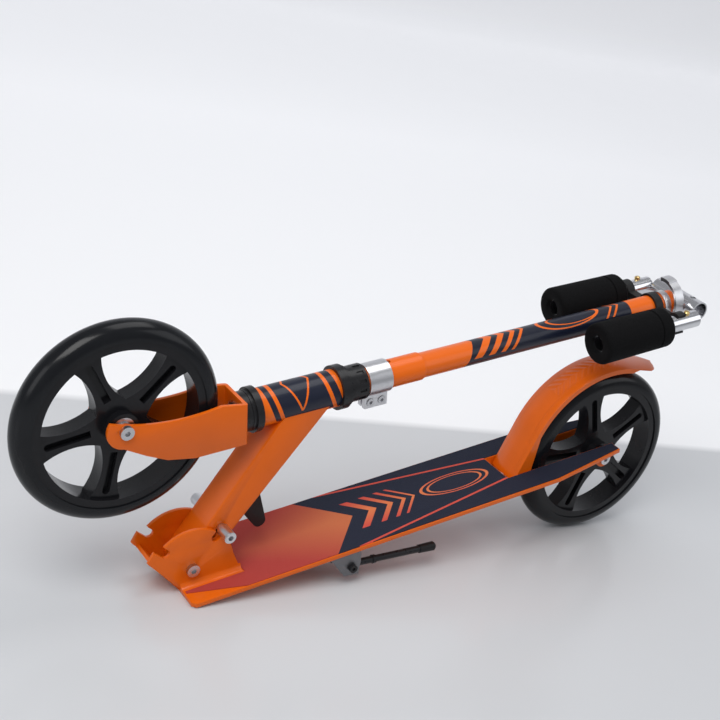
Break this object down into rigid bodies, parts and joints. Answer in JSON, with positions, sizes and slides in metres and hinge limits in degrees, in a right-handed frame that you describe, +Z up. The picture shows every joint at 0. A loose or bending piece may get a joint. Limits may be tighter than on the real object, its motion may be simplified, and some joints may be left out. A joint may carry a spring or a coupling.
{
  "type": "folding kick scooter",
  "caption": "Folding kick scooter with a telescopic column, swing-in handles, a kickstand and a foot brake, stored folded.",
  "frame": {"origin": "on the ground, in the middle of the folded scooter's bounding box", "axes": "-X towards the front wheel, +X towards the rear wheel and the folded handles, -Y the side with the kickstand (the rider's left), +Z up"},
  "size_m": [0.8008, 0.1338, 0.3107],
  "materials": {
    "orange_paint": "glossy orange paint with navy decals",
    "grip_tape": "gritty self-adhesive sheet with printed stripes",
    "bright_steel": "zinc-plated steel",
    "black_paint": "black anodised or painted metal",
    "grey_steel": "dark grey sheet steel",
    "black_plastic": "moulded black plastic",
    "wheel_core": "glossy black moulded nylon",
    "tyre": "black cast polyurethane",
    "silver_alloy": "satin aluminium",
    "chromed_steel": "chromed tube",
    "brass": "brass",
    "foam": "black closed-cell foam"
  },
  "bodies": {
    "deck": {"deck": "orange_paint", "grip_tape": "grip_tape", "hinge_bolt": "bright_steel", "hinge_nut": "bright_steel", "kickstand_bracket": "grey_steel", "kickstand_bolt": "black_paint", "rear_axle_bolt": "bright_steel", "rear_axle_nut": "bright_steel", "rear_spacers": "bright_steel", "brake_bolt": "bright_steel", "brake_spring": "bright_steel"},
    "kickstand": {"kickstand_leg": "black_paint", "kickstand_foot": "black_plastic", "kickstand_spring": "bright_steel"},
    "rear_wheel": {"rear_rim": "wheel_core", "rear_tyre": "tyre", "rear_bearings": "bright_steel"},
    "rear_brake": {"rear_fender": "orange_paint"},
    "neck": {"neck": "orange_paint", "head_tube": "orange_paint", "lower_headset_cup": "black_paint", "upper_headset_cup": "black_paint", "headset_bearings": "bright_steel", "hinge_bushing": "brass", "lock_spring": "bright_steel"},
    "fold_lock": {"lock_pin": "bright_steel", "lock_pin_caps": "silver_alloy", "release_lever": "black_plastic"},
    "steering": {"fork": "orange_paint", "steerer_tube": "bright_steel", "crown_race": "black_paint", "headset_locknut": "black_paint", "clamp_collar": "silver_alloy", "clamp_bolts": "bright_steel", "column_tube": "orange_paint", "handle_clip": "black_plastic", "quick_release_collar": "silver_alloy", "quick_release_bolt": "bright_steel", "front_axle_bolt": "bright_steel", "front_axle_nut": "bright_steel", "front_spacers": "bright_steel"},
    "front_wheel": {"front_rim": "wheel_core", "front_tyre": "tyre", "front_bearings": "bright_steel"},
    "height_lever": {"quick_release_lever": "silver_alloy"},
    "handlebar": {"inner_tube": "chromed_steel", "crossbar": "chromed_steel"},
    "left_link": {"left_cord_plug": "black_plastic"},
    "right_link": {"right_cord_plug": "black_plastic"},
    "left_handle": {"left_handle_tube": "chromed_steel", "left_grip": "foam"},
    "right_handle": {"right_handle_tube": "chromed_steel", "right_grip": "foam"},
    "left_button": {"left_button": "brass"},
    "right_button": {"right_button": "brass"}
  },
  "joints": [
    {"name": "neck_fold", "type": "hinge", "parent": "deck", "child": "neck", "pos_m": [-0.2057, 0, 0.02526], "axis": [0, -1, 0], "range_deg": [0, 87]},
    {"name": "lock_slide", "type": "slide", "parent": "neck", "child": "fold_lock", "axis": [0.5127, 0, 0.8586], "range_m": [-0.0107, 0], "deforming": ["lock_spring"]},
    {"name": "kickstand_swing", "type": "hinge", "parent": "deck", "child": "kickstand", "pos_m": [-0.03676, -0.0428, 0.01981], "axis": [0, 1, 0], "range_deg": [0, 95]},
    {"name": "rear_wheel_spin", "type": "hinge", "parent": "deck", "child": "rear_wheel", "pos_m": [0.30041, 0, 0.1], "axis": [0, 1, 0], "continuous": true},
    {"name": "rear_brake_press", "type": "hinge", "parent": "deck", "child": "rear_brake", "pos_m": [0.18987, 0, 0.07318], "axis": [0, 1, 0], "range_deg": [0, 4.74], "stiffness_Nm_per_rad": 3, "springref_deg": -17.19, "deforming": ["brake_spring"]},
    {"name": "steering_turn", "type": "hinge", "parent": "neck", "child": "steering", "pos_m": [-0.15804, 0, 0.18616], "axis": [0.9831, 0, 0.1832], "range_deg": [-40, 40]},
    {"name": "front_wheel_spin", "type": "hinge", "parent": "steering", "child": "front_wheel", "pos_m": [-0.30041, 0, 0.18486], "axis": [0, 1, 0], "continuous": true},
    {"name": "height_lever_open", "type": "hinge", "parent": "steering", "child": "height_lever", "pos_m": [0.35188, -0.0175, 0.27466], "axis": [0.9831, 0, 0.1832], "range_deg": [0, 50]},
    {"name": "handlebar_height", "type": "slide", "parent": "steering", "child": "handlebar", "axis": [0.9831, 0, 0.1832], "range_m": [0, 0.3]},
    {"name": "left_handle_swing", "type": "hinge", "parent": "handlebar", "child": "left_link", "pos_m": [0.35592, -0.0317, 0.28192], "axis": [-0.1832, 0, 0.9831], "range_deg": [0, 90], "deforming": ["handle_clip"]},
    {"name": "right_handle_swing", "type": "hinge", "parent": "handlebar", "child": "right_link", "pos_m": [0.36068, 0.03655, 0.28281], "axis": [0.1832, 0, -0.9831], "range_deg": [0, 90]},
    {"name": "left_handle_slide", "type": "slide", "parent": "left_link", "child": "left_handle", "axis": [0.9831, 0, 0.1832], "range_m": [0, 0.0302]},
    {"name": "right_handle_slide", "type": "slide", "parent": "right_link", "child": "right_handle", "axis": [0.9831, 0, 0.1832], "range_m": [0, 0.0309]},
    {"name": "left_button_press", "type": "slide", "parent": "left_handle", "child": "left_button", "axis": [0.1804, 0.1736, -0.9681], "range_m": [0, 0.003], "stiffness_N_per_m": 300, "springref_m": -0.001},
    {"name": "right_button_press", "type": "slide", "parent": "right_handle", "child": "right_button", "axis": [0.1804, -0.1736, -0.9681], "range_m": [0, 0.003], "stiffness_N_per_m": 300, "springref_m": -0.001}
  ]
}
